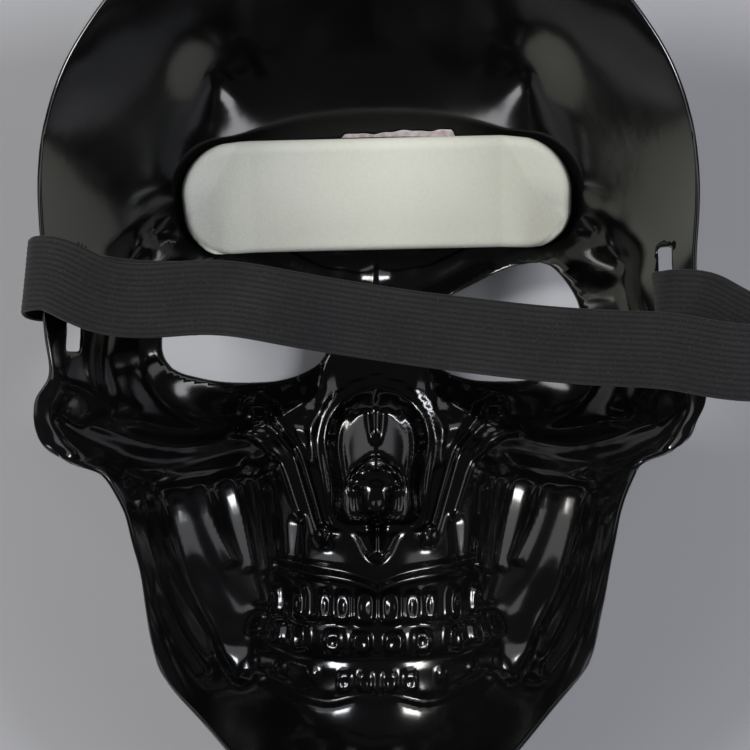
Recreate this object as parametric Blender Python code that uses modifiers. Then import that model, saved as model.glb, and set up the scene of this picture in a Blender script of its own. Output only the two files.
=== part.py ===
"""Skull mask that lies on its face: moulded shell, forehead pad, pad tape and head strap.

The skull faces down, its hollow opens upwards (+Z) and its crown points along +Y.
"""
import bpy
import bmesh
import numpy as np
from mathutils import Matrix, Vector
from mathutils.bvhtree import BVHTree

# Tables and sizes below are in millimetres.
MM = 0.001

WALL = 2.2
SEAT_GAP = 0.3

# The shell's grid reaches from this point out to the rim.
CENTRE_Y = -25.0
GRID_COLUMNS = 42
GRID_ROWS = 52
GRID = np.meshgrid(np.linspace(-1, 1, GRID_COLUMNS + 1), np.linspace(-1, 1, GRID_ROWS + 1))
FLARE_POWER = 5.5
RIM_CALM = 0.12

# The rim's notches are averaged over an angle, in degrees, and fade fast towards the centre.
NOTCH_REACH = 36
NOTCH_SPREAD = 14
NOTCH_SAMPLES = 25
NOTCH_POWER = 6

# How many points the smooth lines through the tables have.
RIM_POINTS = 400
RIDGE_POINTS = 14
SOCKET_POINTS = 60
NOSE_POINTS = 30
EYE_POINTS = 40

# The resting mask touches the floor above the first of these and below the second.
BROW_FROM_Y = 10.0
MOUTH_TO_Y = -30.0

# y, left and right half widths and height of the rim's outer edge, from the crown to the chin
RIM = np.array([
    (129.5, 0.0, 0.0, 97.0),
    (127.0, 21.8, 21.8, 97.0),
    (120.0, 41.6, 41.6, 96.5),
    (110.0, 57.6, 57.6, 95.5),
    (100.0, 68.3, 68.3, 94.0),
    (92.0, 74.4, 74.4, 93.0),
    (84.0, 79.5, 79.5, 92.0),
    (76.0, 83.2, 83.2, 91.0),
    (64.0, 86.8, 86.7, 89.0),
    (52.0, 88.4, 88.3, 87.0),
    (40.0, 88.2, 88.2, 86.0),
    (28.0, 87.7, 87.6, 85.0),
    (12.0, 87.2, 87.2, 85.0),
    (4.0, 86.1, 86.0, 85.0),
    (0.5, 85.6, 86.9, 85.0),
    (-3.5, 86.3, 88.7, 85.0),
    (-8.0, 89.2, 89.8, 84.0),
    (-11.5, 90.1, 89.2, 83.0),
    (-15.0, 90.1, 87.5, 82.0),
    (-18.6, 89.3, 86.2, 80.5),
    (-20.5, 88.3, 84.6, 80.0),
    (-22.5, 86.4, 81.2, 79.0),
    (-24.5, 82.4, 75.6, 78.5),
    (-26.3, 76.6, 73.0, 78.0),
    (-28.0, 73.3, 72.0, 77.0),
    (-30.5, 71.2, 70.9, 76.5),
    (-34.0, 69.3, 69.5, 75.5),
    (-39.0, 67.0, 67.9, 74.5),
    (-47.0, 65.1, 66.3, 73.0),
    (-55.0, 63.2, 64.8, 70.5),
    (-64.0, 62.0, 63.3, 68.0),
    (-72.0, 61.2, 61.8, 65.0),
    (-78.0, 60.3, 60.8, 63.0),
    (-84.0, 58.4, 58.2, 61.5),
    (-90.0, 54.7, 53.6, 59.5),
    (-98.0, 47.9, 47.2, 56.0),
    (-108.0, 40.0, 39.3, 52.0),
    (-117.0, 31.5, 31.0, 49.5),
    (-125.0, 22.0, 22.0, 47.5),
    (-130.5, 11.0, 11.0, 46.0),
    (-132.5, 0.0, 0.0, 46.0),
])

# y, height of the inner face on the middle line, sideways curvature per mm
PROFILE = np.array([
    (134.0, 62.0, 0.0036),
    (115.0, 43.0, 0.0032),
    (100.0, 33.0, 0.0027),
    (85.0, 25.2, 0.0022),
    (70.0, 18.9, 0.0018),
    (55.0, 14.0, 0.0016),
    (42.0, 10.4, 0.0019),
    (33.0, 9.3, 0.0028),
    (24.0, 9.6, 0.0042),
    (14.0, 11.0, 0.0058),
    (4.0, 11.4, 0.0070),
    (-6.0, 9.8, 0.0080),
    (-18.0, 9.0, 0.0090),
    (-32.0, 8.0, 0.0100),
    (-46.0, 6.8, 0.0118),
    (-58.0, 5.8, 0.0132),
    (-70.0, 5.4, 0.0138),
    (-82.0, 6.6, 0.0138),
    (-92.0, 8.8, 0.0135),
    (-102.0, 8.0, 0.0135),
    (-112.0, 8.5, 0.0135),
    (-122.0, 13.0, 0.0140),
    (-132.5, 24.0, 0.0150),
])

# y, distance of the temporal line from the middle; the temple falls away beyond it
TEMPORAL_LINE = np.array([
    (134.0, 20.0),
    (108.0, 36.0),
    (90.0, 46.0),
    (64.0, 56.0),
    (42.0, 60.0),
    (20.0, 66.0),
    (-20.0, 72.0),
    (-60.0, 70.0),
])
TEMPLE_SLOPE = 0.62
TEMPLE_SOFTNESS = 3.5

# x and y of one eye's cut edge, and of the edge where its socket starts to rise
EYE_HOLE = [
    (13.4, 6.8), (14.2, 13.5), (17.8, 18.8), (23.4, 21.9), (32.5, 26.4), (43.7, 30.1),
    (50.3, 29.4), (54.5, 25.2), (58.0, 19.0), (59.6, 11.0), (59.2, 3.0), (56.6, -0.5),
    (50.7, -2.9), (44.1, -4.3), (35.7, -4.7), (28.5, -4.3), (21.8, -2.4), (16.6, 0.8),
]
SOCKET = [
    (9.5, 10.0), (12.5, 20.0), (22.0, 26.5), (34.0, 31.5), (46.0, 35.5),
    (57.0, 36.0), (66.0, 27.0), (69.0, 12.0), (67.0, -4.0), (58.0, -14.5),
    (45.0, -18.5), (31.0, -14.5), (18.0, -7.5), (10.5, 1.0),
]
SOCKET_RISE = 10.0
SOCKET_SLOPE_WIDTH = 15.0

# x and y of half the nose's edge
NOSE_HALF = [
    (0.0, -5.3), (6.0, -7.2), (11.4, -11.2), (14.4, -16.5), (15.4, -22.5), (14.4, -30.0),
    (13.5, -38.0), (12.6, -44.5), (9.0, -46.8), (3.5, -46.6), (0.0, -46.6),
]
NOSE_RISE = 8.0
NOSE_SLOPE_WIDTH = 6.0

# half width, height towards the wearer, then x and y along one side's ridge
RIDGES = {
    "brow_boss": (6.5, -2.6, [(16, 27), (23, 31), (29, 34.5)]),
    "brow": (6.5, -3.4, [(6, 27), (14, 30), (25, 35), (38, 41), (50, 43), (60, 40), (67, 30)]),
    "cheekbone": (5.5, -4.2, [(24, -17), (34, -21.5), (46, -25.5), (58, -25), (70, -20), (82, -13)]),
    "zygoma_post": (4.0, -2.0, [(66, 30), (70, 16), (72, 2), (69, -12)]),
    "nose_side": (4.0, -2.2, [(16, 2), (15.5, -8), (18.5, -18), (19, -30), (16.5, -42), (14, -50)]),
    "ramus": (5.5, -3.4, [(62, -33), (57.5, -50), (52, -66), (45, -80)]),
    "cheek_hollow": (8.5, 5.2, [(41, -34), (39.5, -46), (37, -58), (34.5, -68)]),
    "nasal_spine": (3.5, -2.2, [(0, -46), (0, -51), (0, -56)]),
    "upper_teeth": (5.0, -1.6, [(0, -71), (13, -70.4), (26, -68.5), (40, -65)]),
    "lower_teeth": (4.0, -1.3, [(0, -81.5), (13, -80.3), (26, -77.8), (38, -72.5)]),
    "chin": (9.0, -3.6, [(0, -109), (10, -108), (20, -104)]),
}

SLOT_X = 80.6
SLOT_WIDTH = 3.6
SLOT_LOW_Y = 4.2
SLOT_HIGH_Y = 32.8
SLOT_CORNER = 0.8
CUT_HEIGHTS = {"eye": (-5.0, 60.0), "strap_slot": (30.0, 110.0)}
RAY_START = 40.0
PAD_LOWEST = -1.0
PAD_REACH = 1.6

PAD_LENGTH = 112.0
PAD_HEIGHT = 31.5
PAD_THICKNESS = 11.5
PAD_THINNEST = 4.6
PAD_CORNER_RADIUS = 13.0
PAD_CELLS = (20, 6)
PAD_EDGE_ROUND = 2.0
PAD_EDGE_SEGMENTS = 2
PAD_EDGE_ANGLE = np.radians(50)
PAD_CENTRE = (0.8, 52.3)
PAD_TURN = np.radians(1.0)
PAD_TILT_REACH = PAD_HEIGHT / 3
PAD_FLAT_HALF = 36.0
PAD_END_LIFT = 0.12

TAPE_LENGTH = 33.0
TAPE_HEIGHT = 2.8
TAPE_THICKNESS = 0.8
TAPE_CELLS = (8, 1)
TAPE_MIDDLE_X = 6.5

STRAP_WIDTH = 20.0
STRAP_THICKNESS = 1.3
STRAP_STEPS = 130

# x, y and z of the strap's middle line, then how far its upper edge leads in x and z
STRAP = np.array([
    (-46.0, 18.7, 85.0, 0.0, 0.0),
    (-56.0, 18.8, 85.0, 0.0, 0.0),
    (-66.0, 19.5, 82.8, 0.0, 0.0),
    (-73.0, 20.7, 78.4, 0.0, -0.2),
    (-77.4, 21.7, 74.2, 0.0, -0.4),
    (-81.0, 22.1, 70.6, 0.0, -0.42),
    (-85.4, 22.4, 68.7, 0.04, -0.4),
    (-89.6, 22.8, 71.6, 0.08, -0.25),
    (-91.8, 23.6, 77.4, 0.1, 0.0),
    (-92.0, 24.6, 83.8, 0.1, 0.0),
    (-89.6, 25.4, 89.2, 0.1, 0.0),
    (-85.2, 25.4, 91.6, 0.05, 0.0),
    (-79.0, 22.9, 91.4, 0.0, 0.0),
    (-71.0, 19.4, 90.2, 0.0, 0.05),
    (-60.0, 18.0, 88.8, 0.0, 0.05),
    (-46.0, 18.7, 90.0, 0.0, 0.0),
    (-33.0, 17.9, 93.5, 0.0, -0.03),
    (-20.0, 15.5, 93.5, 0.0, 0.0),
    (-6.0, 13.1, 89.0, 0.0, 0.05),
    (8.0, 10.9, 88.0, 0.0, 0.05),
    (26.0, 8.4, 92.5, 0.0, 0.0),
    (48.0, 5.8, 97.5, 0.0, 0.0),
    (68.0, 4.4, 104.0, 0.0, 0.0),
    (79.0, 3.6, 107.5, 0.0, 0.0),
    (90.0, 1.6, 109.5, 0.0, 0.0),
    (98.5, 0.6, 108.5, 0.0, 0.0),
    (105.5, 0.8, 104.0, 0.0, 0.0),
    (108.6, 2.4, 97.0, 0.0, 0.0),
    (106.6, 5.4, 89.0, 0.0, 0.0),
    (101.0, 9.4, 81.5, 0.0, 0.0),
    (93.5, 13.0, 74.8, 0.0, -0.2),
    (86.5, 14.6, 70.6, 0.0, -0.4),
    (81.0, 15.0, 73.1, 0.0, -0.42),
    (77.6, 15.2, 78.6, 0.0, -0.4),
    (78.2, 15.4, 84.6, 0.0, -0.2),
    (82.0, 15.6, 88.8, 0.0, 0.0),
    (87.4, 15.2, 91.0, 0.0, 0.0),
    (92.0, 13.6, 94.6, 0.0, 0.0),
    (96.0, 11.0, 99.8, 0.0, 0.0),
    (99.6, 8.6, 104.2, 0.0, 0.0),
])


def spline(knots, values, at):
    """Read a natural cubic spline through the rows of a table; knots rise."""
    gap = np.diff(knots)
    slope = np.diff(values) / gap
    count = len(knots)
    system = np.eye(count)
    right = np.zeros(count)
    for i in range(1, count - 1):
        system[i, i - 1:i + 2] = gap[i - 1], 2 * (gap[i - 1] + gap[i]), gap[i]
        right[i] = 6 * (slope[i] - slope[i - 1])
    bend = np.linalg.solve(system, right)
    i = np.clip(np.searchsorted(knots, at) - 1, 0, count - 2)
    t = at - knots[i]
    start = slope[i] - gap[i] * (2 * bend[i] + bend[i + 1]) / 6
    return values[i] + t * (start + t * (bend[i] / 2 + t * (bend[i + 1] - bend[i]) / (6 * gap[i])))


def column(table, k, at):
    """Read one column of a table whose first column falls."""
    rows = table[::-1]
    return spline(rows[:, 0], rows[:, k], np.clip(at, rows[0, 0], rows[-1, 0]))


def run_through(points, count, closed=False):
    """Space points evenly along a smooth line through the given ones."""
    points = np.asarray(points, float)
    wrap = 4 if closed else 0
    if closed:
        points = np.concatenate([points[-wrap:], points, points[:wrap + 1]])
    steps = np.linalg.norm(np.diff(points, axis=0), axis=1)
    along = np.concatenate([[0], np.cumsum(steps)])
    at = np.linspace(along[wrap], along[-wrap - 1], count, endpoint=not closed)
    return np.stack([spline(along, points[:, k], at) for k in range(points.shape[1])], 1)


def rise(t):
    """Go smoothly from 0 to 1."""
    t = np.clip(t, 0, 1)
    return t * t * t * (t * (6 * t - 15) + 10)


def path_distance(x, y, starts, ends):
    """Measure how far each point is from the nearest of some straight steps."""
    best = np.full(x.shape, np.inf)
    for (ax, ay), (bx, by) in zip(starts, ends):
        dx, dy = bx - ax, by - ay
        t = np.clip(((x - ax) * dx + (y - ay) * dy) / (dx * dx + dy * dy), 0, 1)
        best = np.minimum(best, np.hypot(x - ax - t * dx, y - ay - t * dy))
    return best


def depth_inside(x, y, outline):
    """Measure how far each point is in from a closed outline; 0 outside it."""
    ends = np.roll(outline, -1, axis=0)
    within = np.zeros(x.shape, bool)
    for (ax, ay), (bx, by) in zip(outline, ends):
        if ay != by:
            crosses = (ay > y) != (by > y)
            within ^= crosses & (x < ax + (y - ay) * (bx - ax) / (by - ay))
    return np.where(within, path_distance(x, y, outline, ends), 0)


def relief(x, y):
    """Work out how far the skull's forms stand towards the wearer."""
    x = np.abs(x)
    height = np.zeros(x.shape)
    for width, tall, points in RIDGES.values():
        path = run_through(points, RIDGE_POINTS)
        height += tall * np.exp(-(path_distance(x, y, path[:-1], path[1:]) / width) ** 2)
    socket = run_through(SOCKET, SOCKET_POINTS, closed=True)
    height += SOCKET_RISE * rise(depth_inside(x, y, socket) / SOCKET_SLOPE_WIDTH)
    half = run_through(NOSE_HALF, NOSE_POINTS)
    nose = np.concatenate([half, half[-2:0:-1] * (-1, 1)])
    height += NOSE_RISE * rise(depth_inside(x, y, nose) / NOSE_SLOPE_WIDTH)
    return height


def rim_at(angle):
    """Give the inner rim's distance from the centre, and its height, in each direction."""
    rows = RIM[::-1]
    folded = np.arctan2(np.sin(angle), np.abs(np.cos(angle)))
    sides = []
    for half_width in (1, 2):
        line = run_through(rows[:, (half_width, 0, 3)], RIM_POINTS)
        turn = np.arctan2(line[:, 1] - CENTRE_Y, line[:, 0])
        far = np.hypot(line[:, 0], line[:, 1] - CENTRE_Y)
        # The wall's thickness lies sideways where it is steep at the rim, and hardly at all where it is flat.
        steep = np.maximum(FLARE_POWER * (line[:, 2] - front(line[:, 0], line[:, 1])) / far, 0)
        far -= WALL * steep / np.hypot(1, steep)
        sides.append(np.stack([np.interp(folded, turn, far), np.interp(folded, turn, line[:, 2])]))
    return np.where(np.cos(angle) < 0, *sides)


def even_rim_at(angle):
    """Give the rim's distance with its notches smoothed away."""
    spread = np.radians(np.linspace(-NOTCH_REACH, NOTCH_REACH, NOTCH_SAMPLES))
    weight = np.exp(-(spread / np.radians(NOTCH_SPREAD)) ** 2)
    return sum(w * rim_at(angle + s)[0] for w, s in zip(weight / weight.sum(), spread))


def front(x, y):
    """Give the height of the plain face, before its flare up to the rim."""
    past = (np.abs(x) - column(TEMPORAL_LINE, 1, y)) / TEMPLE_SOFTNESS
    temple = TEMPLE_SLOPE * TEMPLE_SOFTNESS * np.logaddexp(0, past)
    return column(PROFILE, 1, y) + column(PROFILE, 2, y) * x * x + temple


def inner_face(u, v):
    """Place grid points, u and v from -1 to 1, on the inner face of the shell."""
    p, q = u * np.sqrt(1 - v * v / 2), v * np.sqrt(1 - u * u / 2)
    r, angle = np.clip(np.hypot(p, q), 0, 1), np.arctan2(q, p)
    reach, rim_height = rim_at(angle)
    even = even_rim_at(angle)
    reach = even + (reach - even) * r ** NOTCH_POWER
    x, y = r * reach * np.cos(angle), CENTRE_Y + r * reach * np.sin(angle)
    flare = r ** FLARE_POWER
    base = np.stack([x, y, rim_height * flare + front(x, y) * (1 - flare)], -1)
    normal = np.cross(np.gradient(base, axis=1), np.gradient(base, axis=0))
    normal /= np.linalg.norm(normal, axis=-1, keepdims=True)
    height = relief(x, y) * rise((1 - r) / RIM_CALM)
    return base + normal * height[..., None]


def principled(name, colour, roughness):
    material = bpy.data.materials.new(name)
    material.use_nodes = True
    shader = material.node_tree.nodes["Principled BSDF"]
    shader.inputs["Base Color"].default_value = (*colour, 1)
    shader.inputs["Roughness"].default_value = roughness
    shader.inputs["Metallic"].default_value = 0
    return material


def add_object(name, bm, collection, material=None):
    mesh = bpy.data.meshes.new(name)
    bm.to_mesh(mesh)
    bm.free()
    piece = bpy.data.objects.new(name, mesh)
    collection.objects.link(piece)
    if material:
        mesh.materials.append(material)
    return piece


def add_cutter(name, outline, low, high, collection):
    """Stand a straight prism on an outline and keep it out of the render."""
    bm = bmesh.new()
    floor = bm.faces.new([bm.verts.new((x * MM, y * MM, low * MM)) for x, y in outline])
    grown = bmesh.ops.extrude_face_region(bm, geom=[floor])["geom"]
    top = [part for part in grown if isinstance(part, bmesh.types.BMVert)]
    bmesh.ops.translate(bm, verts=top, vec=(0, 0, (high - low) * MM))
    bmesh.ops.recalc_face_normals(bm, faces=bm.faces)
    cutter = add_object(name, bm, collection)
    cutter.hide_render = True
    cutter.display_type = "WIRE"
    return cutter


def grid_mesh(columns, rows):
    """Make a flat grid and return it with its vertices in rows."""
    bm = bmesh.new()
    bmesh.ops.create_grid(bm, x_segments=columns, y_segments=rows, size=1)
    verts = sorted(bm.verts, key=lambda v: (round(v.co.y, 6), round(v.co.x, 6)))
    return bm, verts


def level(points, lean=(0.0, 0.0)):
    """Lower points by a height and a slope along y, so that brow and mouth both touch the floor."""
    points = points.copy()
    points[..., 2] -= lean[0] + lean[1] * points[..., 1]
    return points


def find_lean(u, v):
    """Work out the height and slope that stand the outer face on its brow and mouth."""
    inner = inner_face(u, v)
    normal = np.cross(np.gradient(inner, axis=1), np.gradient(inner, axis=0))
    outer = (inner - WALL * normal / np.linalg.norm(normal, axis=-1, keepdims=True)).reshape(-1, 3)
    brow = min(outer[outer[:, 1] > BROW_FROM_Y], key=lambda point: point[2])
    mouth = min(outer[outer[:, 1] < MOUTH_TO_Y], key=lambda point: point[2])
    slope = (brow[2] - mouth[2]) / (brow[1] - mouth[1])
    return mouth[2] - slope * mouth[1], slope


def slot_outline():
    """Outline the strap slot on the right side, a rectangle with small round corners."""
    half = SLOT_WIDTH / 2 - SLOT_CORNER
    low, high = SLOT_LOW_Y + SLOT_CORNER, SLOT_HIGH_Y - SLOT_CORNER
    corners = ((half, high, 0), (-half, high, 90), (-half, low, 180), (half, low, 270))
    return [(SLOT_X + x + SLOT_CORNER * np.cos(a), y + SLOT_CORNER * np.sin(a))
            for x, y, turn in corners
            for a in np.radians((turn, turn + 45, turn + 90))]


def make_shell(lean, collection, cutters):
    bm, verts = grid_mesh(GRID_COLUMNS, GRID_ROWS)
    for vert, place in zip(verts, level(inner_face(*GRID), lean).reshape(-1, 3)):
        vert.co = place * MM
    plastic = principled("black_plastic", (0.012, 0.012, 0.014), 0.18)
    shell = add_object("mask_shell", bm, collection, plastic)
    shell.data.shade_smooth()
    wall = shell.modifiers.new("wall", "SOLIDIFY")
    wall.thickness = WALL * MM
    wall.offset = -1
    eye = run_through(EYE_HOLE, EYE_POINTS, closed=True)
    for side, sign in (("right", 1), ("left", -1)):
        for name, outline in (("eye", eye), ("strap_slot", slot_outline())):
            mirrored = [(sign * x, y) for x, y in outline]
            cut = shell.modifiers.new(f"{side}_{name}", "BOOLEAN")
            cut.operation = "DIFFERENCE"
            cut.solver = "EXACT"
            cut.object = add_cutter(f"{side}_{name}_cutter", mirrored, *CUT_HEIGHTS[name], cutters)
    return shell


def inside_of(shell):
    """Give a function that finds how high the shell's inner face is over a point on a plane."""
    tree = BVHTree.FromObject(shell, bpy.context.evaluated_depsgraph_get())

    def height(foot, normal):
        start = foot + normal * RAY_START * MM
        return RAY_START - tree.ray_cast(start, -normal)[3] / MM

    return height


def highest_near(height, foot, along, across, normal):
    """Find the highest of the shell's heights round a point, so that flat facets clear it."""
    around = [foot + (along * i + across * j) * PAD_REACH * MM for i in (-1, 0, 1) for j in (-1, 0, 1)]
    return max(height(point, normal) for point in around)


def pad_plane(height):
    """Give the plane that the pad is pressed against: its origin and its three directions."""
    x, y = PAD_CENTRE
    up = Vector((0, 0, 1))
    low, middle, high = (height(Vector((x, y + side, 0)) * MM, up)
                         for side in (-PAD_TILT_REACH, 0, PAD_TILT_REACH))
    slope = np.arctan2(high - low, 2 * PAD_TILT_REACH)
    frame = Matrix.Rotation(slope, 3, "X") @ Matrix.Rotation(PAD_TURN, 3, "Z")
    return Vector((x, y, middle)) * MM, frame.col[0], frame.col[1], frame.col[2]


def slab(name, plan, top, cells, height, plane, collection, material):
    """Build a slab whose underside follows the shell and whose top has its own heights."""
    origin, along, across, normal = plane
    bm = bmesh.new()
    sheets = [bmesh.ops.create_grid(bm, x_segments=cells[0], y_segments=cells[1], size=1)["verts"]
              for side in ("underside", "top")]
    bmesh.ops.translate(bm, verts=sheets[1], vec=(0, 0, 1))
    bmesh.ops.bridge_loops(bm, edges=[edge for edge in bm.edges if edge.is_boundary])
    for sheet, is_top in zip(sheets, (False, True)):
        for vert in sheet:
            s, t = plan(vert.co.x, vert.co.y)
            foot = origin + (along * s + across * t) * MM
            seat = highest_near(height, foot, along, across, normal)
            under = max(seat, PAD_LOWEST) + SEAT_GAP
            vert.co = foot + normal * (top(s, under) if is_top else under) * MM
    bmesh.ops.recalc_face_normals(bm, faces=bm.faces)
    return add_object(name, bm, collection, material)


def pad_plan(u, v):
    """Map a square to the pad's outline, straight sides with round corners."""
    t = PAD_HEIGHT / 2 * np.sin(v * np.pi / 2)
    past = max(0, abs(t) - (PAD_HEIGHT / 2 - PAD_CORNER_RADIUS))
    reach = PAD_LENGTH / 2 - PAD_CORNER_RADIUS + np.sqrt(PAD_CORNER_RADIUS ** 2 - past ** 2)
    return u * reach, t


def pad_top(s, under):
    """Keep the pad's face flat in the middle, lift it a little at the ends and clear the brow."""
    return max(PAD_THICKNESS + PAD_END_LIFT * max(0, abs(s) - PAD_FLAT_HALF), under + PAD_THINNEST)


def make_pad(height, plane, collection):
    foam = principled("white_foam", (0.67, 0.68, 0.62), 0.95)
    pad = slab("forehead_pad", pad_plan, pad_top, PAD_CELLS, height, plane, collection, foam)
    edge = pad.modifiers.new("soft_edge", "BEVEL")
    edge.width = PAD_EDGE_ROUND * MM
    edge.segments = PAD_EDGE_SEGMENTS
    edge.limit_method = "ANGLE"
    edge.angle_limit = PAD_EDGE_ANGLE
    return pad


def make_tape(height, plane, collection):
    """Lay the strip of tape that shows along the pad's upper edge."""
    tape_colour = principled("pale_tape", (0.62, 0.55, 0.55), 0.4)

    def plan(u, v):
        near = PAD_HEIGHT / 2 + SEAT_GAP
        return TAPE_MIDDLE_X + u * TAPE_LENGTH / 2, near + (v + 1) * TAPE_HEIGHT / 2

    def top(s, under):
        return under + TAPE_THICKNESS

    return slab("pad_tape", plan, top, TAPE_CELLS, height, plane, collection, tape_colour)


def strap_edges():
    """Work out the strap's two long edges, square to the way it runs."""
    line = run_through(STRAP, STRAP_STEPS + 1)
    middle = line[:, :3]
    forward = np.gradient(middle, axis=0)
    forward /= np.linalg.norm(forward, axis=1, keepdims=True)
    side = np.stack([line[:, 3], np.ones(len(line)), line[:, 4]], 1)
    side -= forward * np.sum(side * forward, axis=1, keepdims=True)
    side *= STRAP_WIDTH / 2 / np.linalg.norm(side, axis=1, keepdims=True)
    return np.stack([middle - side, middle + side])


def make_strap(lean, collection):
    elastic = principled("black_elastic", (0.025, 0.025, 0.027), 0.85)
    bm, verts = grid_mesh(STRAP_STEPS, 1)
    for vert, place in zip(verts, level(strap_edges(), lean).reshape(-1, 3)):
        vert.co = place * MM
    strap = add_object("head_strap", bm, collection, elastic)
    thick = strap.modifiers.new("band", "SOLIDIFY")
    thick.thickness = STRAP_THICKNESS * MM
    thick.offset = 0
    thick.use_even_offset = True
    return strap


def stand_on_floor(pieces, cutters, collection):
    """Put the origin at the middle of the base of the box round all the pieces."""
    depsgraph = bpy.context.evaluated_depsgraph_get()
    corners = [Vector(corner) for piece in pieces for corner in piece.evaluated_get(depsgraph).bound_box]
    low = [min(corner[k] for corner in corners) for k in range(3)]
    high = [max(corner[k] for corner in corners) for k in range(3)]
    base = bpy.data.objects.new("mask_base", None)
    collection.objects.link(base)
    base.location = (-(low[0] + high[0]) / 2, -(low[1] + high[1]) / 2, -low[2])
    for moved in [*pieces, *cutters]:
        moved.parent = base


def main():
    for old in list(bpy.data.objects):
        bpy.data.objects.remove(old)
    parts = bpy.data.collections.new("skull_mask")
    cutters = bpy.data.collections.new("cutters")
    for collection in (parts, cutters):
        bpy.context.scene.collection.children.link(collection)
    lean = find_lean(*GRID)
    shell = make_shell(lean, parts, cutters)
    height = inside_of(shell)
    plane = pad_plane(height)
    pad = make_pad(height, plane, parts)
    tape = make_tape(height, plane, parts)
    strap = make_strap(lean, parts)
    stand_on_floor([shell, pad, tape, strap], cutters.objects, parts)


main()
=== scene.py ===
"""Looks of the skull mask: the moulded shell's fine relief, its pad, tape and strap, light and camera."""
import bpy
import numpy as np
from mathutils import Matrix, Vector
from mathutils.bvhtree import BVHTree


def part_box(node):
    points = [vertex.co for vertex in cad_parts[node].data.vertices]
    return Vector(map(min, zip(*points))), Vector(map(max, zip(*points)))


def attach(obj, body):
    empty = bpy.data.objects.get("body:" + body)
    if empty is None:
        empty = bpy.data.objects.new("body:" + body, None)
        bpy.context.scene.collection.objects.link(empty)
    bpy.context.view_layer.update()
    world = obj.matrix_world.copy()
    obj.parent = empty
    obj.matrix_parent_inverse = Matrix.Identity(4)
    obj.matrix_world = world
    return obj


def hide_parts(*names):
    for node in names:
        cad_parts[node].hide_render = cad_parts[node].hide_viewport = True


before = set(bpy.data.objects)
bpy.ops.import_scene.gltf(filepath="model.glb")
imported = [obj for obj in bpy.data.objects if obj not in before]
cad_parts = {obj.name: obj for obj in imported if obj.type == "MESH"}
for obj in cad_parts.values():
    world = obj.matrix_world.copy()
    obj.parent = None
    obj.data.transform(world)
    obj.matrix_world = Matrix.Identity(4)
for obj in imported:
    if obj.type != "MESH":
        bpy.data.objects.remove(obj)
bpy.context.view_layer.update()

# Tables and sizes below are in millimetres, in the mask's own frame: x across, y towards the crown.
MM = 0.001
SEAT_GAP = 0.3

WALL = 2.2
# The wall thins to this at its edge, over this share of the way in from the rim.
RIM_WALL = 1.2
RIM_THINNING = 0.12
RIM_CALM = 0.12
RIM_POINTS = 400
CENTRE_Y = -25.0
FLARE_POWER = 5.5
# The rim's notches fade towards the middle, where its course is averaged over some degrees.
NOTCH_REACH = 36
NOTCH_SPREAD = 14
NOTCH_SAMPLES = 25
NOTCH_POWER = 6

SHELL_COLUMNS = 200
SHELL_ROWS = 216
# middle, spread and weight of where the grid's lines crowd together
COLUMN_CROWDING = (0.0, 0.55, 0.6)
ROW_CROWDING = (-0.35, 0.5, 0.9)
CROWDING_SAMPLES = 401
CORNER_CELLS = 3
# Grid points this near a hole may slide onto it, if it lies within this share of a cell.
SNAP_REACH = 3.0
SNAP_SHARE = 0.5
SNAP_ROUNDS = 3
SMALLEST = 1e-9
UPRIGHT_REACH = 2.5
UPRIGHT_LEAST = 0.3
EDGE_LOOPS = 3
EDGE_ROUND = 0.5
BROW_FROM_Y = 10.0
MOUTH_TO_Y = -30.0

# y, left and right half widths and height of the rim's outer edge, from the crown to the chin
RIM = np.array([
    (129.5, 0.0, 0.0, 97.0),
    (127.0, 21.8, 21.8, 97.0),
    (120.0, 41.6, 41.6, 96.5),
    (110.0, 57.6, 57.6, 95.5),
    (100.0, 68.3, 68.3, 94.0),
    (92.0, 74.4, 74.4, 93.0),
    (84.0, 79.5, 79.5, 92.0),
    (76.0, 83.2, 83.2, 91.0),
    (64.0, 86.8, 86.7, 89.0),
    (52.0, 88.4, 88.3, 87.0),
    (40.0, 88.2, 88.2, 86.0),
    (28.0, 87.7, 87.6, 85.0),
    (12.0, 87.2, 87.2, 85.0),
    (4.0, 86.1, 86.0, 85.0),
    (0.5, 85.6, 86.9, 85.0),
    (-3.5, 86.3, 88.7, 85.0),
    (-8.0, 89.2, 89.8, 84.0),
    (-11.5, 90.1, 89.2, 83.0),
    (-15.0, 90.1, 87.5, 82.0),
    (-18.6, 89.3, 86.2, 80.5),
    (-20.5, 88.3, 84.6, 80.0),
    (-22.5, 86.4, 81.2, 79.0),
    (-24.5, 82.4, 75.6, 78.5),
    (-26.3, 76.6, 73.0, 78.0),
    (-28.0, 73.3, 72.0, 77.0),
    (-30.5, 71.2, 70.9, 76.5),
    (-34.0, 69.3, 69.5, 75.5),
    (-39.0, 67.0, 67.9, 74.5),
    (-47.0, 65.1, 66.3, 73.0),
    (-55.0, 63.2, 64.8, 70.5),
    (-64.0, 62.0, 63.3, 68.0),
    (-72.0, 61.2, 61.8, 65.0),
    (-78.0, 60.3, 60.8, 63.0),
    (-84.0, 58.4, 58.2, 61.5),
    (-90.0, 54.7, 53.6, 59.5),
    (-98.0, 47.9, 47.2, 56.0),
    (-108.0, 40.0, 39.3, 52.0),
    (-117.0, 31.5, 31.0, 49.5),
    (-125.0, 22.0, 22.0, 47.5),
    (-130.5, 11.0, 11.0, 46.0),
    (-132.5, 0.0, 0.0, 46.0),
])

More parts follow.
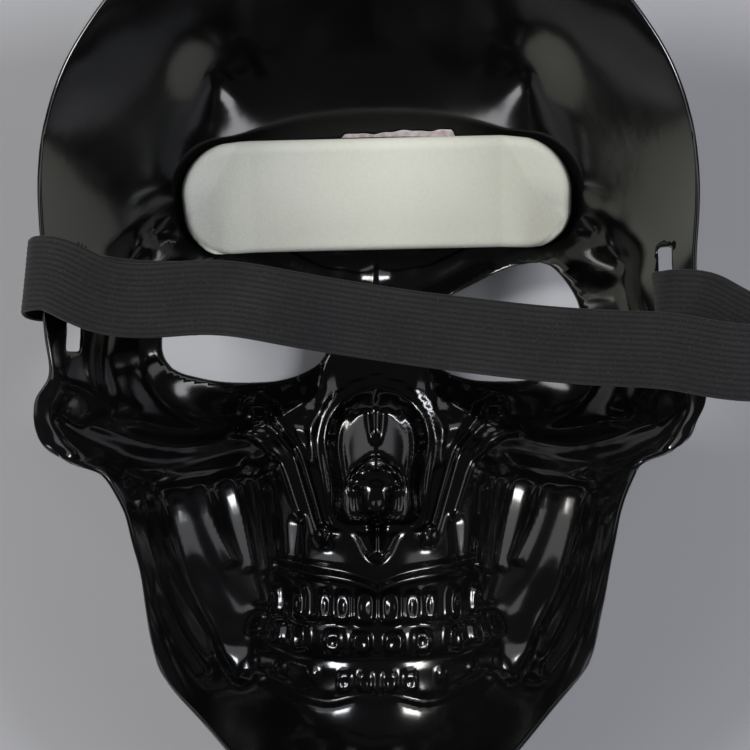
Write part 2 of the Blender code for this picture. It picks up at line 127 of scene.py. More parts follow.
# y, height of the inner face on the middle line, sideways curvature per mm
PROFILE = np.array([
    (134.0, 62.0, 0.0036),
    (115.0, 43.0, 0.0032),
    (100.0, 33.0, 0.0027),
    (85.0, 25.2, 0.0022),
    (70.0, 18.9, 0.0018),
    (55.0, 14.0, 0.0016),
    (42.0, 10.4, 0.0019),
    (33.0, 9.3, 0.0028),
    (24.0, 9.6, 0.0042),
    (14.0, 11.0, 0.0058),
    (4.0, 11.4, 0.0070),
    (-6.0, 9.8, 0.0080),
    (-18.0, 9.0, 0.0090),
    (-32.0, 8.0, 0.0100),
    (-46.0, 6.8, 0.0118),
    (-58.0, 5.8, 0.0132),
    (-70.0, 5.4, 0.0138),
    (-82.0, 6.6, 0.0138),
    (-92.0, 8.8, 0.0135),
    (-102.0, 8.0, 0.0135),
    (-112.0, 8.5, 0.0135),
    (-122.0, 13.0, 0.0140),
    (-132.5, 24.0, 0.0150),
])

# y, distance of the temporal line from the middle; the temple falls away beyond it
TEMPORAL_LINE = np.array([
    (134.0, 20.0),
    (108.0, 36.0),
    (90.0, 46.0),
    (64.0, 56.0),
    (42.0, 60.0),
    (20.0, 66.0),
    (-20.0, 72.0),
    (-60.0, 70.0),
])
TEMPLE_SLOPE = 0.62
TEMPLE_SOFTNESS = 3.5

# x and y of one eye's cut edge, and of the edge where its socket starts to rise
EYE_HOLE = [
    (13.4, 6.8), (14.2, 13.5), (17.8, 18.8), (23.4, 21.9), (32.5, 26.4), (43.7, 30.1),
    (50.3, 29.4), (54.5, 25.2), (58.0, 19.0), (59.6, 11.0), (59.2, 3.0), (56.6, -0.5),
    (50.7, -2.9), (44.1, -4.3), (35.7, -4.7), (28.5, -4.3), (21.8, -2.4), (16.6, 0.8),
]
SOCKET = [
    (9.5, 10.0), (12.5, 20.0), (22.0, 26.5), (34.0, 31.5), (46.0, 35.5),
    (57.0, 36.0), (66.0, 27.0), (69.0, 12.0), (67.0, -4.0), (58.0, -14.5),
    (45.0, -18.5), (31.0, -14.5), (18.0, -7.5), (10.5, 1.0),
]
EYE_POINTS = 90
SOCKET_POINTS = 60
SOCKET_RISE = 10.0
SOCKET_SLOPE_WIDTH = 15.0

# x and y of half the nose's edge
NOSE_HALF = [
    (0.0, -5.3), (6.0, -7.2), (11.4, -11.2), (14.4, -16.5), (15.4, -22.5), (14.4, -30.0),
    (13.5, -38.0), (12.6, -44.5), (9.0, -46.8), (3.5, -46.6), (0.0, -46.6),
]
NOSE_POINTS = 30
NOSE_RISE = 8.0
NOSE_SLOPE_WIDTH = 3.4
# depth inside the nose's edge, half width and height of the arches that follow it
NOSE_ARCHES = [
    (-1.6, 1.1, 0.8),
    (3.6, 1.0, -1.0),
]
# x and y of the middle, half width and half height, height, and how flat the top is, for one side's forms
NOSE_OVALS = [
    (0.0, -37.5, 4.4, 4.6, 2.2, 3),
    (0.0, -38.2, 1.8, 2.2, -1.4, 2),
    (7.2, -38.5, 2.1, 5.6, -1.9, 2),
    (6.6, -33.0, 2.6, 1.6, 1.3, 2),
    (3.4, -43.2, 2.2, 1.4, -1.5, 2),
]
ROOF_SLOPE = 0.33
ROOF_HALF_WIDTH = 9.5
ROOF_FROM_Y = -31.0
ROOF_FADE = 4.0
ROOF_FROM_DEPTH = 3.0
ROOF_EASE = 2.5
SEPTUM_HEIGHT = -3.2
SEPTUM_FROM_Y = -23.0
SEPTUM_FADE = 5.0
SEPTUM_EASE = 4.0
SEPTUM_FOOT_Y = -24
SEPTUM_HALF_WIDTH = 0.9
SEPTUM_SPREAD = 0.09
BAND_HEIGHT = -1.6
BAND_Y = -26.5
BAND_BOW = 0.08
BAND_HALF_WIDTH = 1.5
BAND_FROM_DEPTH = 2.0
BAND_EASE = 3.0

# half width, height towards the wearer, then x and y along one side's ridge
RIDGES = {
    "brow_boss": (6.5, -2.6, [(16, 27), (23, 31), (29, 34.5)]),
    "brow": (6.5, -3.4, [(6, 27), (14, 30), (25, 35), (38, 41), (50, 43), (60, 40), (67, 30)]),
    "brow_edge": (1.7, -1.2, [(8, 22), (16, 24.5), (26, 29.5), (38, 33.5), (50, 37), (60, 37.5)]),
    "cheekbone": (5.5, -4.2, [(24, -17), (34, -21.5), (46, -25.5), (58, -25), (70, -20), (82, -13)]),
    "orbit_edge": (1.6, -1.5, [(18, -9), (27, -14.5), (37, -18.5), (49, -21.5), (61, -19.5), (73, -14.5)]),
    "cheek_edge": (1.6, -1.2, [(30, -25), (44, -30.5), (57, -30.5), (69, -25.5)]),
    "zygoma_post": (3.4, -2.0, [(66, 30), (70, 16), (72, 2), (69, -12)]),
    "nose_side": (3.0, -2.2, [(16, 2), (15.5, -8), (18.5, -18), (19, -30), (16.5, -42), (14, -50)]),
    "fold_1": (1.1, -1.6, [(39, -10.5), (31, -11.6), (26, -16.5), (22, -24), (18.4, -34), (15.0, -46)]),
    "fold_2": (1.0, 1.2, [(36, -14.2), (30, -16.5), (26, -22.0), (23.4, -29), (20.5, -38), (17.4, -48)]),
    "fold_3": (1.2, -1.3, [(40, -18.0), (32.5, -20.5), (28, -26), (25.4, -33), (22.5, -42)]),
    "ramus_front": (2.2, -2.6, [(57, -31), (53, -47), (47.5, -64), (41.5, -77), (37.5, -87)]),
    "ramus": (5.5, -2.6, [(62, -33), (57.5, -50), (52, -66), (45, -80)]),
    "ramus_groove": (1.5, 2.0, [(63.0, -36), (59.0, -56), (53.0, -75), (47.5, -84)]),
    "cheek_hollow": (8.5, 5.2, [(41, -34), (39.5, -46), (37, -58), (34.5, -68)]),
    "cheek_rib_1": (1.3, 1.1, [(50, -33), (47.5, -44), (43.5, -55)]),
    "cheek_rib_2": (1.3, 1.1, [(44.5, -32), (42, -44), (39.5, -57)]),
    "cheek_rib_3": (1.3, 1.1, [(38.5, -33), (37, -45), (35.5, -58)]),
    "cheek_rib_4": (1.3, 1.1, [(32.8, -36), (32.5, -46), (32, -57)]),
    "gum_line": (1.2, 1.2, [(0, -66.2), (6, -63.6), (12, -62.0), (20, -60.4), (32, -57.5)]),
    "gum_ridge": (1.1, -0.9, [(0, -63.6), (6, -61.2), (12, -59.6), (20, -58.0), (30, -55.4)]),
    "between_teeth": (1.2, 0.5, [(0, -76.6), (14, -75.4), (26, -73.2), (38, -69.2)]),
    "under_teeth": (1.6, 0.5, [(0, -86.6), (14, -85.6), (26, -82.8), (36, -78.0)]),
    "jaw_line": (1.3, 1.4, [(0, -97.2), (6, -95.8), (13, -97.0), (22, -94.2), (32, -88.5)]),
    "canine_root": (2.0, 1.0, [(23.5, -46), (24, -52), (24.5, -57)]),
    "nasal_spine": (1.7, -3.2, [(0, -45), (0, -50), (0, -54.5)]),
    "spine_edge": (0.9, -1.2, [(13, -48.8), (5.5, -49.4), (2.2, -55.5), (0, -57.4)]),
    "chin": (9.0, -1.0, [(0, -109), (10, -108), (20, -104)]),
}
RIDGE_POINTS = 14

# x and y of the middle, half width, half height and depth of each tooth on one side
TEETH = np.array([
    (3.7, -70.9, 3.2, 5.6, 2.0),
    (9.9, -70.6, 2.7, 5.2, 1.8),
    (15.0, -70.0, 2.1, 5.0, 1.7),
    (22.7, -69.0, 2.3, 4.9, 2.0),
    (31.8, -67.4, 2.2, 4.7, 1.8),
    (4.7, -80.9, 3.1, 3.3, 1.5),
    (12.8, -80.4, 2.8, 3.4, 1.5),
    (22.3, -78.8, 2.5, 3.5, 1.7),
    (29.4, -76.6, 2.2, 3.4, 1.4),
    (36.4, -73.6, 1.9, 3.0, 1.0),
    (3.4, -92.0, 2.3, 3.3, 1.3),
    (9.3, -91.8, 2.2, 3.2, 1.3),
    (18.6, -89.6, 1.7, 2.0, 0.9),
    (27.6, -87.2, 1.6, 1.8, 0.8),
    (35.4, -84.6, 1.6, 2.2, 0.8),
])
TOOTH_SQUARENESS = 4
TOOTH_CURL = 0.5
TOOTH_CURL_WIDTH = 0.42
TOOTH_FLOOR = 0.55
TOOTH_SIDE = 0.6

# x and y of the middle, half width, half height and height of the hollow beside each temple's crease
FOREHEAD_HOLLOW = (43.0, 80.0, 9.0, 9.0, -2.8)

SLOT_X = 80.6
SLOT_WIDTH = 3.6
SLOT_LOW_Y = 4.2
SLOT_HIGH_Y = 32.8
SLOT_CORNER = 0.9
SLOT_CORNER_POINTS = 5

PAD_LENGTH = 112.0
PAD_HEIGHT = 31.5
PAD_THICKNESS = 11.5
PAD_THINNEST = 4.6
PAD_CORNER_RADIUS = 13.0
PAD_CORNER_POINTS = 13
PAD_CENTRE = (0.8, 52.3)
PAD_TURN = np.radians(1.0)
PAD_TILT_REACH = PAD_HEIGHT / 3
PAD_FLAT_HALF = 36.0
PAD_END_LIFT = 0.12
PAD_LOWEST = -1.0
PAD_EDGE_ROUND = 2.6
PAD_CROWN = 0.5
PAD_WAIST = 0.35
PAD_OVERHANG = 2.4
PAD_COLUMNS = 130
PAD_CROWDING = (0, 0.7, -0.6)
PAD_ROWS = 48
PAD_LOOPS = 7
RAY_START = 40.0

TAPE_LENGTH = 33.0
TAPE_HEIGHT = 2.8
TAPE_MIDDLE_X = 6.5
TAPE_FILM = 0.15
TAPE_COLUMNS = 60
TAPE_ROWS = 6
# The film's reach is a share of its height, which slants, waves and falls off at the ends.
TAPE_REACH = 0.62
TAPE_SLANT = 0.3
TAPE_END_SLOPE = 9
TAPE_END_SHARE = 0.3
# height, turns and start of the waves along its edge, and of its crinkles
TAPE_WAVES = [(0.10, 7.0, 1.0), (0.05, 19.0, 0.0)]
TAPE_CRINKLE = (0.15, 13.0, 2.0)

STRAP_WIDTH = 20.0
STRAP_THICKNESS = 1.3
STRAP_STEPS = 420
STRAP_RIBS = 14
RIB_POINTS = 4
RIB_DEPTH = 0.13
STRAP_SQUARENESS = 24
THREAD_PITCH = 0.9

# x, y and z of the strap's middle line, then how far its upper edge leads in x and z
STRAP = np.array([
    (-46.0, 18.7, 85.0, 0.0, 0.0),
    (-56.0, 18.8, 85.0, 0.0, 0.0),
    (-66.0, 19.5, 82.8, 0.0, 0.0),
    (-73.0, 20.7, 78.4, 0.0, -0.2),
    (-77.4, 21.7, 74.2, 0.0, -0.4),
    (-81.0, 22.1, 70.6, 0.0, -0.42),
    (-85.4, 22.4, 68.7, 0.04, -0.4),
    (-89.6, 22.8, 71.6, 0.08, -0.25),
    (-91.8, 23.6, 77.4, 0.1, 0.0),
    (-92.0, 24.6, 83.8, 0.1, 0.0),
    (-89.6, 25.4, 89.2, 0.1, 0.0),
    (-85.2, 25.4, 91.6, 0.05, 0.0),
    (-79.0, 22.9, 91.4, 0.0, 0.0),
    (-71.0, 19.4, 90.2, 0.0, 0.05),
    (-60.0, 18.0, 88.8, 0.0, 0.05),
    (-46.0, 18.7, 90.0, 0.0, 0.0),
    (-33.0, 17.9, 93.5, 0.0, -0.03),
    (-20.0, 15.5, 93.5, 0.0, 0.0),
    (-6.0, 13.1, 89.0, 0.0, 0.05),
    (8.0, 10.9, 88.0, 0.0, 0.05),
    (26.0, 8.4, 92.5, 0.0, 0.0),
    (48.0, 5.8, 97.5, 0.0, 0.0),
    (68.0, 4.4, 104.0, 0.0, 0.0),
    (79.0, 3.6, 107.5, 0.0, 0.0),
    (90.0, 1.6, 109.5, 0.0, 0.0),
    (98.5, 0.6, 108.5, 0.0, 0.0),
    (105.5, 0.8, 104.0, 0.0, 0.0),
    (108.6, 2.4, 97.0, 0.0, 0.0),
    (106.6, 5.4, 89.0, 0.0, 0.0),
    (101.0, 9.4, 81.5, 0.0, 0.0),
    (93.5, 13.0, 74.8, 0.0, -0.2),
    (86.5, 14.6, 70.6, 0.0, -0.4),
    (81.0, 15.0, 73.1, 0.0, -0.42),
    (77.6, 15.2, 78.6, 0.0, -0.4),
    (78.2, 15.4, 84.6, 0.0, -0.2),
    (82.0, 15.6, 88.8, 0.0, 0.0),
    (87.4, 15.2, 91.0, 0.0, 0.0),
    (92.0, 13.6, 94.6, 0.0, 0.0),
    (96.0, 11.0, 99.8, 0.0, 0.0),
    (99.6, 8.6, 104.2, 0.0, 0.0),
])

PHOTO_WIDTH = 750
FOCAL_PIXELS = 2867
SENSOR = 36.0
CAMERA_PLACE = (22.65, 0.0, 850.0)
CAMERA_TARGET = (-0.59, -2.37, 0.0)
CAMERA_UP = (0.0052, 1, 0)

# pairs of colours that each material drifts between, then the colours laid over them; the pore and rib groove
# colours are painted shade
PLASTIC_COLOURS = (0.0018, 0.0019, 0.0021, 1), (0.0036, 0.0037, 0.0040, 1)
FOAM_COLOURS = (0.71, 0.725, 0.66, 1), (0.69, 0.70, 0.61, 1)
FILM_COLOURS = (0.55, 0.45, 0.47, 1), (0.8, 0.74, 0.75, 1)
ELASTIC_COLOURS = (0.012, 0.012, 0.013, 1), (0.018, 0.018, 0.019, 1)
FLOOR_COLOURS = (0.40, 0.405, 0.425, 1), (0.394, 0.398925, 0.418625, 1)
PORE_SHADE_COLOUR = (0.45, 0.46, 0.41, 1)
RIB_GROOVE_SHADE = (0.004, 0.004, 0.0045, 1)
FLECK_COLOUR = (0.05, 0.05, 0.053, 1)

# grains per metre, detail and roughness of each noise
NOISES = {
    "haze": (28.0, 5.0, 0.6),
    "ripple": (150.0, 2.0, 0.5),
    "grain": (1500.0, 2.0, 0.5),
    "patches": (30.0, 2.0, 0.5),
    "pores": (900.0, 4.0, 0.6),
    "wrinkle": (500.0, 3.0, 0.5),
    "wear": (60.0, 2.0, 0.5),
    "fuzz": (1800.0, 3.0, 0.7),
    "mottle": (12.0, 3.0, 0.5),
}
FOAM_CELLS = 2200.0

# the ends of each value's range, then what they are stretched to
STRETCHES = {
    "haze_shine": (0.3, 0.7, 0.10, 0.17),
    "haze_colour": (0.35, 0.75, 0, 1),
    "foam_tint": (0.35, 0.65, 0, 1),
    "foam_pore_shade": (0.3, 0.6, 0.12, 0),
    "film_colour": (0.35, 0.65, 0, 1),
    "elastic_wear": (0.35, 0.65, 0, 1),
    "rib_shade": (-1, 0.2, 0.75, 0),
    "flecks": (0.55, 0.75, 0, 0.5),
    "wave_height": (-1, 1, 0, 1),
    "floor_mottle": (0.3, 0.7, 0, 1),
}

# strength and depth in metres of each bump
BUMPS = {
    "ripple": (0.12, 0.0002),
    "grain": (0.05, 0.00003),
    "pores": (0.2, 0.0003),
    "cells": (0.25, 0.0002),
    "wrinkle": (0.5, 0.0004),
    "threads": (0.4, 0.0002),
    "ribs": (0.6, 0.0003),
    "fuzz": (0.5, 0.00015),
}

# numbers of the colour mixing node's sockets: its share and two colours, and what comes out
MIX_INPUTS = (0, 6, 7)
MIX_RESULT = 2

FLOOR_SIZE = 6.0
WORLD_COLOUR = (0.06, 0.06, 0.065, 1)

# name, place in metres, width and height, power in watts and colour of each lamp; all face the origin
LIGHTS = [
    ("key", (-1.2, 0.5, 1.25), (0.6, 0.35), 22, (1.0, 0.98, 0.95)),
    ("fill", (1.1, 0.45, 1.25), (0.5, 0.3), 14, (0.93, 0.95, 1.0)),
    ("left_panel", (-1.5, -0.1, 1.5), (1.3, 1.1), 6.5, (1.0, 1.0, 0.98)),
    ("right_panel", (1.5, 0.0, 1.5), (1.3, 1.1), 6.5, (0.95, 0.96, 1.0)),
    ("low_left", (-0.62, -1.1, 0.47), (0.36, 0.26), 1.9, (0.97, 0.97, 1.0)),
    ("low_right", (0.62, -1.0, 0.47), (0.36, 0.26), 1.9, (0.97, 0.97, 1.0)),
]


def spline(knots, values, at):
    """Read a natural cubic spline through the rows of a table; knots rise."""
    gap = np.diff(knots)
    slope = np.diff(values) / gap
    count = len(knots)
    system = np.eye(count)
    right = np.zeros(count)
    for i in range(1, count - 1):
        system[i, i - 1:i + 2] = gap[i - 1], 2 * (gap[i - 1] + gap[i]), gap[i]
        right[i] = 6 * (slope[i] - slope[i - 1])
    bend = np.linalg.solve(system, right)
    i = np.clip(np.searchsorted(knots, at) - 1, 0, count - 2)
    t = at - knots[i]
    start = slope[i] - gap[i] * (2 * bend[i] + bend[i + 1]) / 6
    return values[i] + t * (start + t * (bend[i] / 2 + t * (bend[i + 1] - bend[i]) / (6 * gap[i])))


def column(table, k, at):
    """Read one column of a table whose first column falls."""
    rows = table[::-1]
    return spline(rows[:, 0], rows[:, k], np.clip(at, rows[0, 0], rows[-1, 0]))


def run_through(points, count, closed=False):
    """Space points evenly along a smooth line through the given ones."""
    points = np.asarray(points, float)
    wrap = 4 if closed else 0
    if closed:
        points = np.concatenate([points[-wrap:], points, points[:wrap + 1]])
    steps = np.linalg.norm(np.diff(points, axis=0), axis=1)
    along = np.concatenate([[0], np.cumsum(steps)])
    at = np.linspace(along[wrap], along[-wrap - 1], count, endpoint=not closed)
    return np.stack([spline(along, points[:, k], at) for k in range(points.shape[1])], 1)


def rise(t):
    """Go smoothly from 0 to 1."""
    t = np.clip(t, 0, 1)
    return t * t * t * (t * (6 * t - 15) + 10)


def path_distance(x, y, starts, ends):
    """Measure how far each point is from the nearest of some straight steps."""
    best = np.full(x.shape, np.inf)
    for (ax, ay), (bx, by) in zip(starts, ends):
        dx, dy = bx - ax, by - ay
        t = np.clip(((x - ax) * dx + (y - ay) * dy) / (dx * dx + dy * dy), 0, 1)
        best = np.minimum(best, np.hypot(x - ax - t * dx, y - ay - t * dy))
    return best


def inside_by(x, y, outline):
    """Measure how far each point is in from a closed outline; negative outside it."""
    ends = np.roll(outline, -1, axis=0)
    within = np.zeros(x.shape, bool)
    for (ax, ay), (bx, by) in zip(outline, ends):
        if ay != by:
            crosses = (ay > y) != (by > y)
            within ^= crosses & (x < ax + (y - ay) * (bx - ax) / (by - ay))
    return np.where(within, 1, -1) * path_distance(x, y, outline, ends)


def bump(x, y, cx, cy, rx, ry, height, power=2):
    """Raise an oval form; a higher power gives it a flatter top."""
    q = np.hypot((x - cx) / rx, (y - cy) / ry)
    return height * np.exp(-q ** power)


def tooth(x, y, cx, cy, half_width, half_height, depth):
    """Sink a rounded square dimple, as a tooth looks from behind."""
    power = TOOTH_SQUARENESS
    q = (((x - cx) / half_width) ** power + ((y - cy) / half_height) ** power) ** (1 / power)
    curl = TOOTH_CURL * np.exp(-(q / TOOTH_CURL_WIDTH) ** 2)
    return depth * (curl - 1 + rise((q - TOOTH_FLOOR) / TOOTH_SIDE))


def relief(x, y):
    """Work out how far the skull's forms stand towards the wearer."""
    x = np.abs(x)
    height = np.zeros(x.shape)
    for width, tall, points in RIDGES.values():
        path = run_through(points, RIDGE_POINTS)
        height += tall * np.exp(-(path_distance(x, y, path[:-1], path[1:]) / width) ** 2)
    socket = run_through(SOCKET, SOCKET_POINTS, closed=True)
    height += SOCKET_RISE * rise(inside_by(x, y, socket) / SOCKET_SLOPE_WIDTH)
    for row in TEETH:
        height += tooth(x, y, *row)
    return height + nose(x, y) + bump(x, y, *FOREHEAD_HOLLOW)


def nose(x, y):
    """Work out the nose opening's raised floor, a low roof with its middle wall and shells."""
    half = run_through(NOSE_HALF, NOSE_POINTS)
    depth = inside_by(x, y, np.concatenate([half, half[-2:0:-1] * (-1, 1)]))
    height = NOSE_RISE * rise(depth / NOSE_SLOPE_WIDTH)
    for at, width, tall in NOSE_ARCHES:
        height += tall * np.exp(-((depth - at) / width) ** 2)
    roof = ROOF_SLOPE * (ROOF_HALF_WIDTH - np.abs(x)) * rise((depth - ROOF_FROM_DEPTH) / ROOF_EASE)
    height += roof * rise((y - ROOF_FROM_Y) / ROOF_FADE)
    # The middle wall parts the roof's upper end, and a band crosses below it.
    septum_width = SEPTUM_HALF_WIDTH + SEPTUM_SPREAD * (y - SEPTUM_FOOT_Y)
    septum = SEPTUM_HEIGHT * np.exp(-(x / septum_width) ** 2) * rise((y - SEPTUM_FROM_Y) / SEPTUM_FADE)
    height += septum * rise(depth / SEPTUM_EASE)
    band = BAND_HEIGHT * np.exp(-((y - BAND_Y + BAND_BOW * x ** 2) / BAND_HALF_WIDTH) ** 2)
    height += band * rise((depth - BAND_FROM_DEPTH) / BAND_EASE)
    # Below it the shells curl round a small knob.
    for cx, cy, rx, ry, tall, power in NOSE_OVALS:
        height += bump(x, y, cx, cy, rx, ry, tall, power)
    return height


def rim_at(angle):
    """Give the inner rim's distance from the centre, and its height, in each direction."""
    rows = RIM[::-1]
    folded = np.arctan2(np.sin(angle), np.abs(np.cos(angle)))
    sides = []
    for half_width in (1, 2):
        line = run_through(rows[:, (half_width, 0, 3)], RIM_POINTS)
        turn = np.arctan2(line[:, 1] - CENTRE_Y, line[:, 0])
        far = np.hypot(line[:, 0], line[:, 1] - CENTRE_Y)
        # The wall's thickness lies sideways where it is steep at the rim, and hardly at all where it is flat.
        steep = np.maximum(FLARE_POWER * (line[:, 2] - front(line[:, 0], line[:, 1])) / far, 0)
        far -= RIM_WALL * steep / np.hypot(1, steep)
        sides.append(np.stack([np.interp(folded, turn, far), np.interp(folded, turn, line[:, 2])]))
    return np.where(np.cos(angle) < 0, *sides)


def even_rim_at(angle):
    """Give the rim's distance with its notches smoothed away."""
    spread = np.radians(np.linspace(-NOTCH_REACH, NOTCH_REACH, NOTCH_SAMPLES))
    weight = np.exp(-(spread / np.radians(NOTCH_SPREAD)) ** 2)
    return sum(w * rim_at(angle + s)[0] for w, s in zip(weight / weight.sum(), spread))


def front(x, y):
    """Give the height of the plain face, before its flare up to the rim."""
    past = (np.abs(x) - column(TEMPORAL_LINE, 1, y)) / TEMPLE_SOFTNESS
    temple = TEMPLE_SLOPE * TEMPLE_SOFTNESS * np.logaddexp(0, past)
    return column(PROFILE, 1, y) + column(PROFILE, 2, y) * x * x + temple


def plain_face(u, v):
    """Place grid points, u and v from -1 to 1, on the inner face without its relief."""
    p, q = u * np.sqrt(1 - v * v / 2), v * np.sqrt(1 - u * u / 2)
    r, angle = np.clip(np.hypot(p, q), 0, 1), np.arctan2(q, p)
    reach, rim_height = rim_at(angle)
    even = even_rim_at(angle)
    reach = even + (reach - even) * r ** NOTCH_POWER
    x, y = r * reach * np.cos(angle), CENTRE_Y + r * reach * np.sin(angle)
    flare = r ** FLARE_POWER
    return np.stack([x, y, rim_height * flare + front(x, y) * (1 - flare)], -1), r


def grid_normal(points):
    """Give each grid point's normal, towards the wearer."""
    normal = np.cross(np.gradient(points, axis=1), np.gradient(points, axis=0))
    normal /= np.linalg.norm(normal, axis=-1, keepdims=True)
    # The grid's corners are flattened, so they take the normal a little further in.
    ends = ((slice(None, CORNER_CELLS), CORNER_CELLS), (slice(-CORNER_CELLS, None), -CORNER_CELLS - 1))
    for rows, row in ends:
        for cols, col in ends:
            normal[rows, cols] = normal[row, col]
    return normal


def face_sheets(u, v):
    """Place grid points on the shell's inner and outer faces."""
    base, r = plain_face(u, v)
    normal = grid_normal(base)
    height = relief(base[..., 0], base[..., 1]) * rise((1 - r) / RIM_CALM)
    inner = base + normal * height[..., None]
    # Beside a hole the wall is measured straight down, so that the cut is upright.
    upright = np.zeros(u.shape)
    for outline in hole_outlines():
        away = inside_by(inner[..., 0], inner[..., 1], outline)
        upright = np.maximum(upright, np.exp(-(away / UPRIGHT_REACH) ** 2))
    down = normal * (1 - upright[..., None]) + np.array([0, 0, 1]) * upright[..., None]
    share = np.clip(np.sum(down * normal, axis=-1, keepdims=True), UPRIGHT_LEAST, 1)
    wall = RIM_WALL + (WALL - RIM_WALL) * rise((1 - r) / RIM_THINNING)
    return inner, inner - wall[..., None] / share * down


def slot_outline():
    """Outline the strap slot on the right side, with round corners."""
    half = SLOT_WIDTH / 2 - SLOT_CORNER
    low, high = SLOT_LOW_Y + SLOT_CORNER, SLOT_HIGH_Y - SLOT_CORNER
    corners = ((half, high, 0), (-half, high, 90), (-half, low, 180), (half, low, 270))
    return np.array([(SLOT_X + x + SLOT_CORNER * np.cos(a), y + SLOT_CORNER * np.sin(a))
                     for x, y, turn in corners
                     for a in np.radians(np.linspace(turn, turn + 90, SLOT_CORNER_POINTS))])


def hole_outlines():
    """List the outlines of both eye holes and both strap slots."""
    right = [run_through(EYE_HOLE, EYE_POINTS, closed=True), slot_outline()]
    return right + [outline[::-1] * (-1, 1) for outline in right]


def nearest_on(points, outline):
    """Find the nearest place on a closed outline to each point."""
    best = np.full(len(points), np.inf)
    found = points.copy()
    for a, b in zip(outline, np.roll(outline, -1, axis=0)):
        t = np.clip((points - a) @ (b - a) / ((b - a) @ (b - a)), 0, 1)
        place = a + t[:, None] * (b - a)
        far = np.linalg.norm(points - place, axis=1)
        closer = far < best
        best[closer] = far[closer]
        found[closer] = place[closer]
    return found


def snap_to_holes(u, v):
    """Slide the grid points beside each hole onto its outline; mark them 1 and those inside it 2."""
    state = np.zeros(u.shape, int)
    plan = face_sheets(u, v)[0][..., :2]
    across, along = np.gradient(plan, axis=1), np.gradient(plan, axis=0)
    targets = {}
    for outline in hole_outlines():
        depth = inside_by(plan[..., 0], plan[..., 1], outline)
        near = np.abs(depth) < SNAP_REACH
        target = nearest_on(plan[near], outline)
        out = plan[near] - target
        out /= np.maximum(np.linalg.norm(out, axis=1, keepdims=True), SMALLEST)
        reach = np.maximum(*(np.abs(np.sum(out * way[near], axis=1)) for way in (across, along)))
        on = np.abs(depth[near]) <= SNAP_SHARE * reach
        state[depth > 0] = 2
        for (row, col), place in zip(np.argwhere(near)[on], target[on]):
            state[row, col] = 1
            targets[row, col] = place
    rows, cols = np.array(list(targets)).T
    wanted = np.array(list(targets.values()))
    for _ in range(SNAP_ROUNDS):
        now = face_sheets(u, v)[0][..., :2]
        per_u = np.gradient(now, axis=1) / np.gradient(u, axis=1)[..., None]
        per_v = np.gradient(now, axis=0) / np.gradient(v, axis=0)[..., None]
        step = np.stack([per_u[rows, cols], per_v[rows, cols]], -1)
        move = np.linalg.solve(step, (wanted - now[rows, cols])[..., None])[..., 0]
        u[rows, cols] += move[:, 0]
        v[rows, cols] += move[:, 1]
    return u, v, state


def grid_quads(rows, cols):
    """List a grid's faces as rows of point numbers."""
    number = np.arange(rows * cols).reshape(rows, cols)
    corners = number[:-1, :-1], number[:-1, 1:], number[1:, 1:], number[1:, :-1]
    return np.stack(corners, -1).reshape(-1, 4)


def sheet_faces(state, plan):
    """List the faces left round the holes, as rows of grid point numbers."""
    quads = grid_quads(*state.shape)
    marks = state.reshape(-1)
    plan = plan.reshape(-1, 2)
    outlines = hole_outlines()
    faces = []
    for quad in quads[(marks[quads] == 0).all(1)]:
        faces.append(tuple(quad))
    for quad in quads[(marks[quads] > 0).any(1)]:
        left = [i for i in quad if marks[i] != 2]
        if len(left) < 3:
            continue
        if any(marks[i] == 0 for i in left):
            faces.append(tuple(left))
            continue
        middle = plan[left].mean(0)
        if all(inside_by(middle[:1], middle[1:], outline)[0] < 0 for outline in outlines):
            faces.append(tuple(left))
    return faces


def edge_walls(inner, outer, faces):
    """Close the shell's cut edges with a round wall between its two sheets."""
    owner = {}
    for face in faces:
        for a, b in zip(face, face[1:] + face[:1]):
            owner[a, b] = face
    open_edges = [(a, b) for a, b in owner if (b, a) not in owner]
    outward = np.zeros(inner.shape)
    for a, b in open_edges:
        away = (inner[a] + inner[b]) / 2 - inner[list(owner[a, b])].mean(0)
        outward[a] += away
        outward[b] += away
    rim = sorted({a for edge in open_edges for a in edge})
    through = outer[rim] - inner[rim]
    side = outward[rim]
    side -= through * (np.sum(side * through, axis=1) / np.sum(through ** 2, axis=1))[:, None]
    side /= np.linalg.norm(side, axis=1, keepdims=True)
    loops = []
    for share in np.arange(1, EDGE_LOOPS + 1) / (EDGE_LOOPS + 1):
        turn = np.pi * share
        loops.append(inner[rim] + through * (1 - np.cos(turn)) / 2 + side * EDGE_ROUND * np.sin(turn))
    place = {a: i for i, a in enumerate(rim)}
    total = len(inner)
    ring = [{a: a for a in rim}]
    ring += [{a: 2 * total + k * len(rim) + place[a] for a in rim} for k in range(EDGE_LOOPS)]
    ring += [{a: total + a for a in rim}]
    walls = [(upper[b], upper[a], lower[a], lower[b])
             for upper, lower in zip(ring, ring[1:])
             for a, b in open_edges]
    return np.concatenate(loops), walls


def crowded(count, middle, spread, weight):
    """Space values from -1 to 1, closer together round a middle."""
    at = np.linspace(-1, 1, CROWDING_SAMPLES)
    density = 1 + weight * np.exp(-((at - middle) / spread) ** 2)
    total = np.concatenate([[0], np.cumsum((density[1:] + density[:-1]) / 2)])
    return np.interp(np.linspace(0, total[-1], count + 1), total, at)


def level(points, lean):
    """Lower points by a height and a slope along y, so that brow and mouth both touch the floor."""
    points = points.copy()
    points[..., 2] -= lean[0] + lean[1] * points[..., 1]
    return points


def find_lean(outer):
    """Work out the height and slope that stand the outer face on its brow and mouth."""
    points = outer.reshape(-1, 3)
    brow = min(points[points[:, 1] > BROW_FROM_Y], key=lambda point: point[2])
    mouth = min(points[points[:, 1] < MOUTH_TO_Y], key=lambda point: point[2])
    slope = (brow[2] - mouth[2]) / (brow[1] - mouth[1])
    return mouth[2] - slope * mouth[1], slope


